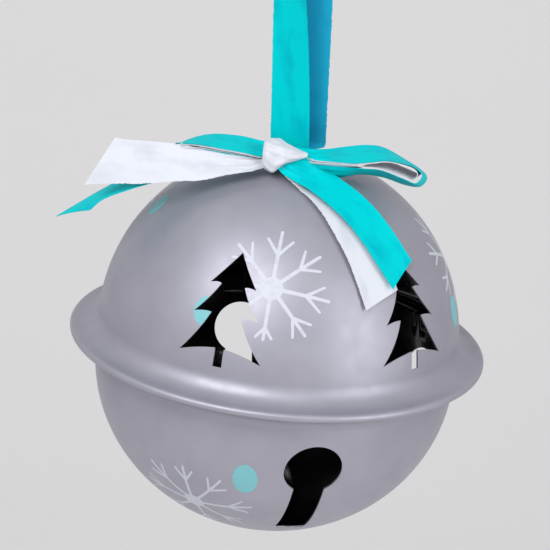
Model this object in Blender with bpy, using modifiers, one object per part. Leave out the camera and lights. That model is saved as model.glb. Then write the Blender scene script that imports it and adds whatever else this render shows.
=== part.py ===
"""Christmas jingle bell ornament: a tin bell of two halves that hangs by a satin ribbon loop.

Units are metres, +Z is up.  The origin is the hang point, at the inside of the
ribbon loop's top fold.  The bell's own measures are taken from its rim plane,
the level where its two halves meet; BELL_X and BELL_Z carry them to their place.
Azimuth 0 faces -Y and grows towards +X.  Latitude is measured on the shell.
"""
import math

import bmesh
import bpy
from mathutils import Matrix, Vector

# ---------------------------------------------------------------- driving sizes
BODY_RADIUS = 0.0435        # outside of the bell's body
BRIM_WIDTH = 0.0065         # from the body to the outside of the rolled rim
SHEET = 0.0004              # tin plate of both halves
GAP = 0.0003                # clearance between pieces that touch
DOME_CENTRE = 0.0015        # height of the dome's centre above the rim plane
DOME_RISE = 0.0443          # dome top above that centre
BOWL_WALL = 0.00575         # straight wall below the rim plane
BOWL_DROP = 0.04105         # bowl bottom below the straight wall
BRIM_FILLET = 0.0045        # dome flares into the brim
LATHE_STEPS = 48            # flat faces round each shell
HOLE_STEPS = 28             # and round each keyhole

TREE_PAIRS = 2              # pairs of trees, on opposite sides of the dome
TREE_FIRST = -17.0          # azimuth of the first tree, degrees
TREE_STEP = 64.3            # between the two trees of a pair
TREE_LATITUDE = 23.0
TREE_HEIGHT = 0.0260
KEYHOLES = [(15.7, -14.6), (118.7, -11.3), (194.0, -11.8), (272.7, -11.5)]   # azimuth and latitude
KEYHOLE_RADIUS = 0.00675
SLOT_WIDTH = 0.0072
SLOT_END_LATITUDE = -50.5

BALL_RADIUS = 0.0075
WIRE_RADIUS = 0.00045
EYE_SPREAD = 0.0022         # eye legs stand this far from the axis
EYE_TOP = 0.0021            # wire centre at the eye's top, above where its bow starts
EYE_LIFT = 0.0016           # straight leg above the dome
EYE_FOOT = 0.0070           # reach of the splayed feet

RIBBON_WIDTH = 0.0100
RIBBON_THICK = 0.00035
STRAND_WIDTH = 0.0022       # ribbon gathered where it threads the eye
STRAND_THICK = 0.0016
LOOP_HEIGHT = 0.0800        # dome top to the fold of the hanging loop
LEG_GAP = 0.0090            # front leg to back leg of the hanging loop
LOOP_LEAN = 0.071           # the loop leans this much to -X for every unit it rises
FOOT_TWIST = -25.0          # turn of the loop about Z at the eye, and at its fold, in degrees
FOLD_TWIST = -90.0
TWIST_POWER = 1.9           # most of that turn is near the fold

KNOT_CENTRE = (-0.0031, -0.0112, 0.00260)   # from the dome's top
KNOT_LENGTH = 0.0100
KNOT_DEPTH = 0.0088
KNOT_HEIGHT = 0.0056
KNOT_WALL = 0.0006
KNOT_SQUARENESS = 0.55      # 1 is an ellipse, and less is nearer to a box
KNOT_STEPS = 24

RIM_RADIUS = BODY_RADIUS + BRIM_WIDTH
DOME_TOP = DOME_CENTRE + DOME_RISE
BELL_Z = -(LOOP_HEIGHT + DOME_TOP)
PIVOT = DOME_TOP + EYE_LIFT + EYE_TOP - WIRE_RADIUS - GAP - math.hypot(STRAND_WIDTH, STRAND_THICK) / 2
BELL_X = LOOP_LEAN * (DOME_TOP + LOOP_HEIGHT - PIVOT)

MATERIALS = {
    "lavender_paint": ((0.36, 0.35, 0.42, 1.0), 0.38, 0.65),
    "steel_wire": ((0.60, 0.60, 0.62, 1.0), 0.30, 1.0),
    "ball_steel": ((0.30, 0.30, 0.32, 1.0), 0.35, 1.0),
    "teal_satin": ((0.00, 0.52, 0.58, 1.0), 0.45, 0.0),
    "white_satin": ((0.82, 0.84, 0.90, 1.0), 0.45, 0.0),
}


# ---------------------------------------------------------------- scene helpers
def clear_scene():
    for old in list(bpy.data.objects):
        bpy.data.objects.remove(old, do_unlink=True)


def new_collection(name):
    collection = bpy.data.collections.new(name)
    bpy.context.scene.collection.children.link(collection)
    return collection


def material_for(node, finish):
    """Each piece has a Principled material of its own."""
    colour, roughness, metallic = MATERIALS[finish]
    material = bpy.data.materials.new(node + "_" + finish)
    material.use_nodes = True
    shader = material.node_tree.nodes["Principled BSDF"]
    shader.inputs["Base Color"].default_value = colour
    shader.inputs["Roughness"].default_value = roughness
    shader.inputs["Metallic"].default_value = metallic
    return material


def add_object(name, mesh, collection, parent):
    obj = bpy.data.objects.new(name, mesh)
    collection.objects.link(obj)
    obj.parent = parent
    return obj


def add_empty(name, location, collection, parent=None):
    """An empty on a joint's axis; its location is measured from the parent's own origin."""
    empty = bpy.data.objects.new(name, None)
    empty.empty_display_size = 0.01
    empty.location = location
    collection.objects.link(empty)
    empty.parent = parent
    return empty


def finish_piece(obj, finish, sharp=math.radians(40)):
    obj.data.materials.append(material_for(obj.name, finish))
    if len(obj.data.polygons):
        obj.data.shade_smooth()
        obj.data.set_sharp_from_angle(angle=sharp)


# ---------------------------------------------------------------- bell profiles
def dome_point(latitude, inset=0.0):
    """Radius and height on the dome; latitude is the ellipse's own angle, in degrees."""
    angle = math.radians(latitude)
    return ((BODY_RADIUS - inset) * math.cos(angle),
            DOME_CENTRE + (DOME_RISE - inset) * math.sin(angle))


def bowl_point(latitude, inset=0.0):
    angle = math.radians(latitude)
    return ((BODY_RADIUS - inset) * math.cos(angle),
            -BOWL_WALL + (BOWL_DROP - inset) * math.sin(angle))


def arc(centre, radius, start, end, count):
    """Points on a circle from start to end, in degrees."""
    points = []
    for i in range(count + 1):
        angle = math.radians(start + (end - start) * i / count)
        points.append((centre[0] + radius * math.cos(angle), centre[1] + radius * math.sin(angle)))
    return points


def dome_side(inset, hole_radius):
    """The dome from its top hole down to the start of the brim's fillet."""
    top = math.degrees(math.acos(hole_radius / (BODY_RADIUS - inset)))
    foot = math.degrees(math.asin((seam_height() + BRIM_FILLET - DOME_CENTRE) / (DOME_RISE - inset)))
    steps = 11
    return [dome_point(top + (foot - top) * i / steps, inset) for i in range(steps + 1)]


def seam_height():
    """Top of the brim above the rim plane: its own sheet over half of the lower flange."""
    return SHEET / 2 + GAP + SHEET


def hole_radius():
    """The dome's top hole lets both legs of the eye turn freely."""
    return EYE_SPREAD + WIRE_RADIUS + GAP


def upper_profile():
    """Down the outside, round the rolled rim, and back up the inside."""
    top = seam_height()
    roll = (RIM_RADIUS - top, 0.0)
    outer = dome_side(0.0, hole_radius())
    inner = dome_side(SHEET, hole_radius())
    fillet = (outer[-1][0] + BRIM_FILLET, top + BRIM_FILLET)
    points = outer
    points += arc(fillet, BRIM_FILLET, 180, 270, 4)[1:]
    points += arc(roll, top, 90, -90, 6)
    lip = roll[0] - 2 * SHEET
    points += [(lip, -top), (lip, -top + SHEET)]
    points += arc(roll, top - SHEET, -90, 90, 4)
    points += arc(fillet, BRIM_FILLET + SHEET, 270, 180, 4)[:-1]
    points += inner[::-1]
    return points


def lower_profile():
    """From the inside of the bottom up to the flange, then down the outside."""
    steps = 11
    flange = RIM_RADIUS - seam_height()
    points = [bowl_point(-90 + 90 * i / steps, SHEET) for i in range(steps + 1)]
    points[0] = (0.0, points[0][1])
    points += [(BODY_RADIUS - SHEET, SHEET / 2), (flange, SHEET / 2), (flange, -SHEET / 2)]
    points += [(BODY_RADIUS, -SHEET / 2)]
    points += [bowl_point(-90 * i / steps) for i in range(steps + 1)]
    points[-1] = (0.0, points[-1][1])
    return points


def turned_shell(name, profile, closed, collection, parent):
    """A profile in the XZ plane, turned about Z with a Screw modifier."""
    mesh = bpy.data.meshes.new(name)
    edges = [(i, i + 1) for i in range(len(profile) - 1)]
    if closed:
        edges.append((len(profile) - 1, 0))
    mesh.from_pydata([(x, 0.0, z) for x, z in profile], edges, [])
    shell = add_object(name, mesh, collection, parent)
    screw = shell.modifiers.new("turn", "SCREW")
    screw.steps = LATHE_STEPS
    screw.render_steps = LATHE_STEPS
    screw.use_merge_vertices = True
    screw.merge_threshold = 0.00001
    return shell


# ---------------------------------------------------------------- cut-outs
def tree_outline():
    """A fir tree of three tiers and a trunk, as shares of its height; the left half mirrors the right."""
    right = [(0.0, 0.530), (0.112, 0.368), (0.207, 0.231), (0.104, 0.236),
             (0.178, 0.100), (0.296, -0.040), (0.130, -0.020),
             (0.226, -0.195), (0.368, -0.382), (0.190, -0.340), (0.048, -0.317),
             (0.040, -0.470)]
    left = [(-x, y) for x, y in right[:0:-1]]
    return [(x * TREE_HEIGHT, y * TREE_HEIGHT) for x, y in right + left]


def slot_outline(top):
    """The slot's side view in a meridian plane, from the round hole to its square end."""
    steps = 6
    span = [top + (SLOT_END_LATITUDE - top) * i / steps for i in range(steps + 1)]
    reach = 6 * SHEET
    outer = [bowl_point(latitude, -reach) for latitude in span]
    inner = [bowl_point(latitude, reach) for latitude in reversed(span)]
    return outer + inner


def outline_cutter(name, outline, depth, matrix, collection, parent):
    """A flat outline as a filled 2D curve, thickened, then made a closed mesh."""
    curve = bpy.data.curves.new(name, "CURVE")
    curve.dimensions = "2D"
    curve.fill_mode = "BOTH"
    curve.extrude = depth / 2
    spline = curve.splines.new("POLY")
    spline.points.add(len(outline) - 1)
    for point, (x, y) in zip(spline.points, outline):
        point.co = (x, y, 0.0, 1.0)
    spline.use_cyclic_u = True
    guide = bpy.data.objects.new(name + "_outline", curve)
    collection.objects.link(guide)
    bpy.context.view_layer.update()
    depsgraph = bpy.context.evaluated_depsgraph_get()
    mesh = bpy.data.meshes.new_from_object(guide.evaluated_get(depsgraph))
    bpy.data.objects.remove(guide, do_unlink=True)
    weld(mesh)
    return add_cutter(name, mesh, matrix, collection, parent)


def weld(mesh):
    work = bmesh.new()
    work.from_mesh(mesh)
    bmesh.ops.remove_doubles(work, verts=work.verts, dist=0.000001)
    bmesh.ops.recalc_face_normals(work, faces=work.faces)
    work.to_mesh(mesh)
    work.free()


def add_cutter(name, mesh, matrix, collection, parent):
    cutter = add_object(name, mesh, collection, parent)
    cutter.matrix_local = matrix
    cutter.hide_render = True
    cutter.display_type = "WIRE"
    return cutter


def outward_frame(azimuth, point, slope):
    """X to the right along the shell, Y up the shell, Z out of it, at a (radius, height) point."""
    turn = Matrix.Rotation(math.radians(azimuth), 4, "Z")
    stand = Matrix.Rotation(math.radians(90 - slope), 4, "X")
    return turn @ Matrix.Translation((0.0, -point[0], point[1])) @ stand


def cut(shell, cutter):
    boolean = shell.modifiers.new(cutter.name, "BOOLEAN")
    boolean.operation = "DIFFERENCE"
    boolean.solver = "EXACT"
    boolean.object = cutter


def shell_slope(latitude, rise):
    """Angle of the shell's outward normal above the level, in degrees."""
    angle = math.radians(latitude)
    return math.degrees(math.atan2(math.sin(angle) / rise, math.cos(angle) / BODY_RADIUS))


def cut_trees(shell, cutters, parent):
    frame = outward_frame(TREE_FIRST, dome_point(TREE_LATITUDE), shell_slope(TREE_LATITUDE, DOME_RISE))
    for k in range(2 * TREE_PAIRS):
        turn = TREE_STEP * (k % 2) + 360.0 / TREE_PAIRS * (k // 2)
        place = Matrix.Rotation(math.radians(turn), 4, "Z") @ frame
        depth = TREE_HEIGHT / 2
        cut(shell, outline_cutter("cut_tree_%d" % (k + 1), tree_outline(), depth, place, cutters, parent))


def cut_keyholes(shell, cutters, parent):
    for k, (azimuth, latitude) in enumerate(KEYHOLES):
        frame = outward_frame(azimuth, bowl_point(latitude), shell_slope(latitude, BOWL_DROP))
        cut(shell, round_cutter("cut_hole_%d" % (k + 1), frame, cutters, parent))
        side = Matrix.Rotation(math.radians(azimuth - 90), 4, "Z") @ Matrix.Rotation(math.radians(90), 4, "X")
        outline = slot_outline(latitude)
        cut(shell, outline_cutter("cut_slot_%d" % (k + 1), outline, SLOT_WIDTH, side, cutters, parent))


def round_cutter(name, matrix, collection, parent):
    mesh = bpy.data.meshes.new(name)
    work = bmesh.new()
    bmesh.ops.create_cone(work, cap_ends=True, segments=HOLE_STEPS, radius1=KEYHOLE_RADIUS,
                          radius2=KEYHOLE_RADIUS, depth=2 * KEYHOLE_RADIUS)
    work.to_mesh(mesh)
    work.free()
    return add_cutter(name, mesh, matrix, collection, parent)


# ---------------------------------------------------------------- wire eye and ball
def build_eye(collection, parent):
    """A wire hairpin: feet splayed under the dome, legs through its hole, a round top."""
    under = DOME_TOP - SHEET - GAP - WIRE_RADIUS
    bend = 2 * WIRE_RADIUS
    turn_height = DOME_TOP + EYE_LIFT
    foot_drop = DOME_RISE * (1 - math.sqrt(1 - (EYE_FOOT / BODY_RADIUS) ** 2))
    right = [(EYE_FOOT, under - foot_drop - GAP), (EYE_SPREAD + 2 * bend, under - bend),
             (EYE_SPREAD + bend / 2, under - bend / 2), (EYE_SPREAD, under + bend / 2)]
    top = arc((0.0, turn_height), 1.0, 0, 180, 10)
    top = [(x * EYE_SPREAD, turn_height + (z - turn_height) * EYE_TOP) for x, z in top]
    left = [(-x, z) for x, z in reversed(right)]
    curve = bpy.data.curves.new("hanger_eye", "CURVE")
    curve.dimensions = "3D"
    curve.bevel_depth = WIRE_RADIUS
    curve.bevel_resolution = 2
    curve.use_fill_caps = True
    spline = curve.splines.new("POLY")
    path = right + top + left
    spline.points.add(len(path) - 1)
    for point, (x, z) in zip(spline.points, path):
        point.co = (x, 0.0, z - PIVOT, 1.0)
    eye = add_object("hanger_eye", curve, collection, parent)
    eye.rotation_euler.z = math.radians(FOOT_TWIST)
    curve.materials.append(material_for("hanger_eye", "steel_wire"))
    return eye


def build_ball(collection, parent):
    """The loose ball that makes the sound, at rest on the bottom of the bowl."""
    mesh = bpy.data.meshes.new("jingle_ball")
    work = bmesh.new()
    bmesh.ops.create_uvsphere(work, u_segments=20, v_segments=12, radius=BALL_RADIUS)
    work.to_mesh(mesh)
    work.free()
    ball = add_object("jingle_ball", mesh, collection, parent)
    ball.location = (0.0, 0.0, -(BOWL_DROP - SHEET - GAP - BALL_RADIUS))
    finish_piece(ball, "ball_steel")
    return ball


# ---------------------------------------------------------------- ribbons
def smooth_stations(stations, steps, closed=False):
    """A Catmull-Rom curve through stations, each (centre, half width vector, thickness)."""
    count = len(stations)
    flat = [list(centre) + list(half) + [thick] for centre, half, thick in stations]
    result = []
    for i in range(count if closed else count - 1):
        if closed:
            quad = [flat[(i + k) % count] for k in (-1, 0, 1, 2)]
        else:
            quad = [flat[min(max(i + k, 0), count - 1)] for k in (-1, 0, 1, 2)]
        for s in range(steps):
            t = s / steps
            values = []
            for a, b, c, d in zip(*quad):
                values.append(0.5 * (2 * b + (c - a) * t + (2 * a - 5 * b + 4 * c - d) * t * t
                                     + (3 * b - a - 3 * c + d) * t ** 3))
            result.append(values)
    if not closed:
        result.append(flat[-1])
    return [(Vector(v[:3]), Vector(v[3:6]), v[6]) for v in result]


def ribbon(name, stations, finish, collection, parent, origin, closed=False, steps=3):
    """A strip lofted through its stations: flat on both faces, closed all round."""
    path = smooth_stations(stations, steps, closed)
    count = len(path)
    mesh = bpy.data.meshes.new(name)
    work = bmesh.new()
    rings = []
    for i, (centre, half, thick) in enumerate(path):
        before = path[i - 1][0] if closed or i else centre
        after = path[(i + 1) % count][0] if closed or i + 1 < count else centre
        normal = (after - before).cross(half).normalized() * (thick / 2)
        corners = (centre + half + normal, centre - half + normal,
                   centre - half - normal, centre + half - normal)
        rings.append([work.verts.new(corner - Vector(origin)) for corner in corners])
    for i in range(count if closed else count - 1):
        here, there = rings[i], rings[(i + 1) % count]
        for k in range(4):
            work.faces.new((here[k], here[(k + 1) % 4], there[(k + 1) % 4], there[k]))
    if not closed:
        work.faces.new(rings[0])
        work.faces.new(rings[-1][::-1])
    bmesh.ops.recalc_face_normals(work, faces=work.faces)
    work.to_mesh(mesh)
    work.free()
    strip = add_object(name, mesh, collection, parent)
    finish_piece(strip, finish)
    return strip


def loop_station(reach, height, half, thick):
    """A station of the hanging loop, reach out from its middle, where it leans and twists."""
    fold = DOME_TOP + LOOP_HEIGHT - LEG_GAP / 2
    rise = min(max((height - PIVOT) / (fold - PIVOT), 0.0), 1.0)
    twist = FOOT_TWIST + (FOLD_TWIST - FOOT_TWIST) * rise ** TWIST_POWER
    turn = Matrix.Rotation(math.radians(twist), 3, "Z")
    middle = Vector((-LOOP_LEAN * (height - PIVOT), 0.0, height))
    return middle + turn @ Vector((0.0, reach, 0.0)), turn @ Vector((half, 0.0, 0.0)), thick


def hanging_stations():
    """The hanging loop, from the strand in the eye up the front leg, over the fold and down the back."""
    half = RIBBON_WIDTH / 2
    leg = LEG_GAP / 2
    fold = DOME_TOP + LOOP_HEIGHT - leg + RIBBON_THICK
    # a leg's foot, chosen by hand: share of the leg's reach, height above the pivot, half width, thickness
    foot = [(0.22, 0.0, STRAND_WIDTH / 2, STRAND_THICK), (0.56, 0.0003, 0.40 * half, 2 * RIBBON_THICK),
            (0.90, 0.0011, 0.84 * half, RIBBON_THICK), (1.0, 0.0028, half, RIBBON_THICK)]
    legs = [(leg * share, PIVOT + lift, width, thick) for share, lift, width, thick in foot]
    steps = 7
    top = legs[-1][1]
    legs += [(leg, top + (fold - top) * i / steps, half, RIBBON_THICK) for i in range(1, steps + 1)]
    legs += [(y, z, half, RIBBON_THICK) for y, z in arc((0.0, fold), leg, 30, 90, 2)]
    stations = [loop_station(0.0, PIVOT, STRAND_WIDTH / 2, STRAND_THICK)]
    stations += [loop_station(-y, z, w, t) for y, z, w, t in legs]
    stations += [loop_station(y, z, w, t) for y, z, w, t in reversed(legs[:-1])]
    return stations


# The bow's stations are chosen by hand: x as a share of the body's radius, y and z in millimetres
# from the dome's top, then the half width's direction and share, and the thickness in millimetres.
THIN = RIBBON_THICK * 1000
ROPE = 0.9                  # ribbon gathered inside the knot

TEAL_BOW = [
    # left tail, from its slanted end to the knot
    (-1.209, -9.9, -17.25, -0.82, 1.00, -0.48, THIN), (-1.011, -9.5, -11.05, 0.00, 1.00, 0.12, THIN),
    (-0.885, -9.1, -7.25, 0.00, 0.96, 0.30, THIN), (-0.759, -9.1, -4.25, 0.00, 0.82, 0.58, THIN),
    (-0.621, -9.9, -2.55, 0.00, 0.60, 0.78, THIN), (-0.460, -10.2, -1.05, 0.00, 0.36, 0.72, THIN),
    (-0.322, -9.5, 0.35, 0.00, 0.18, 0.40, THIN), (-0.218, -8.6, 1.35, 0.00, 0.08, 0.10, ROPE),
    # through the knot and round the right loop
    (-0.069, -8.5, 1.55, 0.00, 0.10, 0.00, ROPE), (0.051, -8.7, 1.65, 0.00, 0.14, 0.00, 0.7),
    (0.149, -9.5, 2.05, 0.00, 0.52, 0.12, THIN), (0.264, -9.9, 2.75, 0.00, 0.96, 0.20, THIN),
    (0.391, -9.9, 3.15, 0.00, 1.00, 0.04, THIN), (0.552, -9.9, 2.25, 0.00, 1.00, 0.00, THIN),
    (0.678, -9.9, 1.15, 0.00, 1.00, 0.00, THIN), (0.736, -9.9, 1.85, 0.00, 1.00, 0.00, THIN),
    (0.726, -9.9, 3.45, 0.00, 1.00, 0.00, THIN), (0.632, -9.9, 5.15, 0.00, 1.00, 0.00, THIN),
    (0.506, -9.9, 6.05, 0.00, 1.00, 0.00, THIN), (0.356, -9.9, 5.95, 0.00, 1.00, 0.06, THIN),
    (0.207, -9.8, 5.05, 0.00, 0.68, 0.06, THIN), (0.092, -9.3, 4.35, 0.00, 0.20, 0.00, THIN),
    # over the top of the knot's core and round the left loop
    (0.000, -9.8, 3.85, 0.00, 0.16, 0.00, ROPE), (-0.149, -9.8, 3.95, 0.00, 0.16, 0.00, 0.8),
    (-0.241, -9.2, 4.75, 0.00, 0.48, -0.06, THIN), (-0.345, -9.3, 5.55, 0.00, 0.92, -0.06, THIN),
    (-0.460, -9.3, 5.85, 0.00, 0.96, -0.04, THIN), (-0.575, -9.3, 5.55, 0.00, 0.96, 0.00, THIN),
    (-0.657, -9.3, 4.75, 0.00, 0.96, 0.00, THIN), (-0.662, -9.3, 3.75, 0.00, 0.96, 0.00, THIN),
    (-0.575, -9.3, 3.55, 0.00, 0.92, 0.04, THIN), (-0.448, -9.2, 3.85, 0.00, 0.58, 0.00, THIN),
    (-0.322, -9.7, 3.35, 0.00, 0.34, 0.00, THIN), (-0.221, -11.8, 2.35, 0.00, 0.12, 0.00, 0.7),
    # back through the knot to the right tail
    (-0.069, -11.8, 1.55, 0.00, 0.10, 0.00, ROPE), (0.051, -12.1, 1.15, 0.06, 0.12, 0.04, 0.6),
]

WHITE_BOW = [
    # left tail, in front of the teal one
    (-1.080, -13.5, -2.65, 0.80, 0.36, 0.96, THIN), (-0.920, -13.5, -2.65, 0.10, 0.36, 0.94, THIN),
    (-0.782, -13.4, -2.25, 0.00, 0.36, 0.94, THIN), (-0.644, -13.2, -1.75, 0.00, 0.34, 0.92, THIN),
    (-0.460, -12.5, -0.55, 0.00, 0.26, 0.66, THIN), (-0.322, -11.7, 0.45, 0.00, 0.16, 0.40, THIN),
    (-0.218, -10.3, 1.35, 0.00, 0.08, 0.10, ROPE),
    # through the knot and round the inside of the right loop
    (-0.069, -10.1, 1.55, 0.00, 0.10, 0.00, ROPE), (0.051, -10.4, 2.45, 0.00, 0.12, 0.00, 0.7),
    (0.149, -9.7, 3.15, 0.00, 0.44, 0.04, THIN), (0.264, -9.9, 3.75, 0.00, 0.92, 0.12, THIN),
    (0.391, -9.9, 3.85, 0.00, 0.98, 0.04, THIN), (0.552, -9.9, 2.95, 0.00, 1.00, 0.00, THIN),
    (0.667, -9.9, 1.95, 0.00, 1.00, 0.00, THIN), (0.710, -9.9, 2.25, 0.00, 1.00, 0.00, THIN),
    (0.703, -9.9, 3.15, 0.00, 1.00, 0.00, THIN), (0.621, -9.9, 4.45, 0.00, 1.00, 0.00, THIN),
    (0.506, -9.9, 5.35, 0.00, 1.00, 0.00, THIN), (0.356, -9.9, 5.15, 0.00, 0.98, 0.06, THIN),
    (0.207, -10.2, 4.35, 0.00, 0.56, 0.06, THIN), (0.092, -12.0, 3.85, 0.00, 0.18, 0.00, THIN),
    # over the knot's core and round the inside of the left loop
    (0.000, -12.2, 3.85, 0.00, 0.14, 0.00, ROPE), (-0.149, -12.3, 3.85, 0.00, 0.14, 0.00, 0.8),
    (-0.241, -11.7, 4.05, 0.00, 0.24, 0.00, THIN), (-0.345, -9.4, 4.85, 0.00, 0.86, -0.06, THIN),
    (-0.460, -9.3, 5.25, 0.00, 0.92, -0.04, THIN), (-0.575, -9.3, 4.95, 0.00, 0.92, 0.00, THIN),
    (-0.634, -9.3, 4.60, 0.00, 0.92, 0.00, THIN), (-0.637, -9.3, 4.25, 0.00, 0.92, 0.00, THIN),
    (-0.575, -9.3, 4.20, 0.00, 0.88, 0.00, THIN), (-0.448, -9.5, 4.50, 0.00, 0.52, 0.00, THIN),
    (-0.322, -12.8, 3.85, 0.00, 0.20, 0.00, THIN), (-0.221, -13.3, 2.55, 0.00, 0.10, 0.00, 0.8),
    # back through the knot to the right tail
    (-0.069, -13.4, 1.55, 0.00, 0.10, 0.00, ROPE), (0.051, -13.6, 1.05, 0.06, 0.10, 0.02, 0.5),
]

# The right tails lie on the dome: azimuth, latitude and share of the ribbon's width of each station.
TEAL_TAIL = [(23.5, 72.2, 0.32), (26.6, 67.2, 0.92), (33.9, 60.3, 1.0), (38.7, 53.3, 1.0),
             (41.7, 46.1, 1.0), (43.7, 40.2, 1.0), (46.0, 34.9, 1.0)]
WHITE_TAIL = [(11.0, 69.4, 0.32), (23.5, 65.5, 0.92), (28.4, 58.0, 1.0), (31.0, 49.5, 1.0),
              (33.2, 41.0, 1.0), (35.3, 28.9, 1.0)]
TAIL_LIFT = 0.00055         # the white tail's middle above the dome
TAIL_STEP = 0.00085         # the teal tail's middle above the white one's
TAIL_SLANT = 0.0012         # the cut ends lean


def bow_stations(rows):
    mm = 0.001
    wide = RIBBON_WIDTH / 2
    return [((x * BODY_RADIUS, y * mm, DOME_TOP + z * mm), (hx * wide, hy * wide, hz * wide), thick * mm)
            for x, y, z, hx, hy, hz, thick in rows]


def tail_stations(rows, lift):
    """Stations of a tail that follows the dome, its width level with the dome's own surface."""
    centres, normals = [], []
    for azimuth, latitude, _ in rows:
        radius, height = dome_point(latitude, -lift)
        turn = Matrix.Rotation(math.radians(azimuth), 3, "Z")
        slope = math.radians(shell_slope(latitude, DOME_RISE))
        centres.append(turn @ Vector((0.0, -radius, height)))
        normals.append(turn @ Vector((0.0, -math.cos(slope), math.sin(slope))))
    stations = []
    for i, (_, _, share) in enumerate(rows):
        along = centres[min(i + 1, len(rows) - 1)] - centres[max(i - 1, 0)]
        across = normals[i].cross(along).normalized() * share * RIBBON_WIDTH / 2
        if i == len(rows) - 1:
            across -= along.normalized() * TAIL_SLANT
        stations.append((centres[i], across, RIBBON_THICK))
    return stations


def build_knot(collection, parent):
    """The turn of white ribbon round the bow's middle: an oval band, open at both ends."""
    outer_size = (KNOT_DEPTH / 2, KNOT_HEIGHT / 2)
    mesh = bpy.data.meshes.new("bow_knot")
    work = bmesh.new()
    rings = []
    for inset, x in ((0.0, -0.5), (0.0, 0.5), (KNOT_WALL, 0.5), (KNOT_WALL, -0.5)):
        ring = []
        for k in range(KNOT_STEPS):
            angle = 2 * math.pi * k / KNOT_STEPS
            across, up = math.cos(angle), math.sin(angle)
            y = math.copysign(abs(across) ** KNOT_SQUARENESS, across) * (outer_size[0] - inset)
            z = math.copysign(abs(up) ** KNOT_SQUARENESS, up) * (outer_size[1] - inset)
            ring.append(work.verts.new((x * KNOT_LENGTH, y, z)))
        rings.append(ring)
    for r in range(4):
        here, there = rings[r], rings[(r + 1) % 4]
        for k in range(KNOT_STEPS):
            after = (k + 1) % KNOT_STEPS
            work.faces.new((here[k], here[after], there[after], there[k]))
    bmesh.ops.recalc_face_normals(work, faces=work.faces)
    work.to_mesh(mesh)
    work.free()
    knot = add_object("bow_knot", mesh, collection, parent)
    knot.location = (KNOT_CENTRE[0], KNOT_CENTRE[1], DOME_TOP + KNOT_CENTRE[2] - PIVOT)
    finish_piece(knot, "white_satin")
    return knot


# ---------------------------------------------------------------- the ornament
def build():
    clear_scene()
    ornament = new_collection("christmas_bell_ornament")
    cutters = new_collection("cutters")
    swing = add_empty("swing_axis", (BELL_X, 0.0, BELL_Z + PIVOT), ornament)
    swivel = add_empty("swivel_axis", (0.0, 0.0, -PIVOT), ornament, swing)
    ball_centre = add_empty("ball_axis", (0.0, 0.0, -BOWL_WALL), ornament, swivel)

    upper = turned_shell("upper_shell", upper_profile(), True, ornament, swivel)
    cut_trees(upper, cutters, swivel)
    finish_piece(upper, "lavender_paint")
    lower = turned_shell("lower_shell", lower_profile(), False, ornament, swivel)
    cut_keyholes(lower, cutters, swivel)
    finish_piece(lower, "lavender_paint")
    build_ball(ornament, ball_centre)
    build_eye(ornament, swing)
    build_knot(ornament, swing)
    teal = bow_stations(TEAL_BOW) + tail_stations(TEAL_TAIL, TAIL_LIFT + TAIL_STEP)
    white = bow_stations(WHITE_BOW) + tail_stations(WHITE_TAIL, TAIL_LIFT)
    at_pivot = (0.0, 0.0, PIVOT)
    ribbon("bow_ribbon_teal", teal, "teal_satin", ornament, swing, at_pivot)
    ribbon("bow_ribbon_white", white, "white_satin", ornament, swing, at_pivot)
    at_hang_point = (-BELL_X, 0.0, -BELL_Z)
    ribbon("hanging_ribbon", hanging_stations(), "teal_satin", ornament, None, at_hang_point, closed=True)


build()
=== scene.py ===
"""Looks of the Christmas jingle bell ornament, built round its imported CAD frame.

Metres, +Z up.  The bell's own frame has its origin in the middle of the rim plane, where the
two halves meet; BELL carries it to its place.  Azimuth 0 faces -Y and grows towards +X, and
latitude is the ellipse's own angle on either shell.
"""
import math

import bmesh
import bpy
import numpy as np
from mathutils import Matrix, Vector


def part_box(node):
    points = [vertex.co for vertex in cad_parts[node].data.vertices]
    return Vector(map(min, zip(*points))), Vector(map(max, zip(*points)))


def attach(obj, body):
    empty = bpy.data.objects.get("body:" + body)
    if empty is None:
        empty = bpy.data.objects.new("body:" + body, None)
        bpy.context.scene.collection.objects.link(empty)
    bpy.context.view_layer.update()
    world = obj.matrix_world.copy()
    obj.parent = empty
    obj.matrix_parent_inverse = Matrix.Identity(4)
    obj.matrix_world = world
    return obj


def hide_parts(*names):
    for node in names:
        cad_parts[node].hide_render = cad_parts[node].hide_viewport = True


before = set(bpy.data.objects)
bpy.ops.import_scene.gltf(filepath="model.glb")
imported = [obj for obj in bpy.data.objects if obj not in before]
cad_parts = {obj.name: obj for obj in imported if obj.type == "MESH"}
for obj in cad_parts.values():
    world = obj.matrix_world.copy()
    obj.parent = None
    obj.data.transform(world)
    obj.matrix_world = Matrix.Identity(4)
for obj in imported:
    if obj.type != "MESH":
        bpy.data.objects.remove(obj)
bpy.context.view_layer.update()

MM = 0.001
EDGE = 0.9 * MM                      # half the height of the rolled rim
rim_low, rim_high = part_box("upper_shell")
BELL = Matrix.Translation(((rim_low[0] + rim_high[0]) / 2, (rim_low[1] + rim_high[1]) / 2, rim_low[2] + EDGE))

# ---------------------------------------------------------------- sizes of the bell, as in the CAD
RIM_RADIUS = (rim_high[0] - rim_low[0]) / 2
BODY_RADIUS = RIM_RADIUS - 6.5 * MM
SHEET = 0.4 * MM
DOME_CENTRE = 1.5 * MM
DOME_RISE = 44.3 * MM
BOWL_WALL = 5.75 * MM
BOWL_DROP = 41.05 * MM
FILLET = 4.5 * MM
TOP_HOLE = 2.95 * MM
DOME_TOP = DOME_CENTRE + DOME_RISE
PIVOT = 47.39 * MM
BALL_RADIUS = 7.5 * MM
CLEAR = 0.3 * MM                     # between pieces that touch
BALL_HEIGHT = -BOWL_WALL - (BOWL_DROP - SHEET - CLEAR - BALL_RADIUS)
WIRE = 0.45 * MM                     # radius of the eye's wire
FOOT_TWIST = -25.0                   # turn of the eye and of the ribbon in it
TURNS = 192                          # steps of the turned shells

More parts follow.
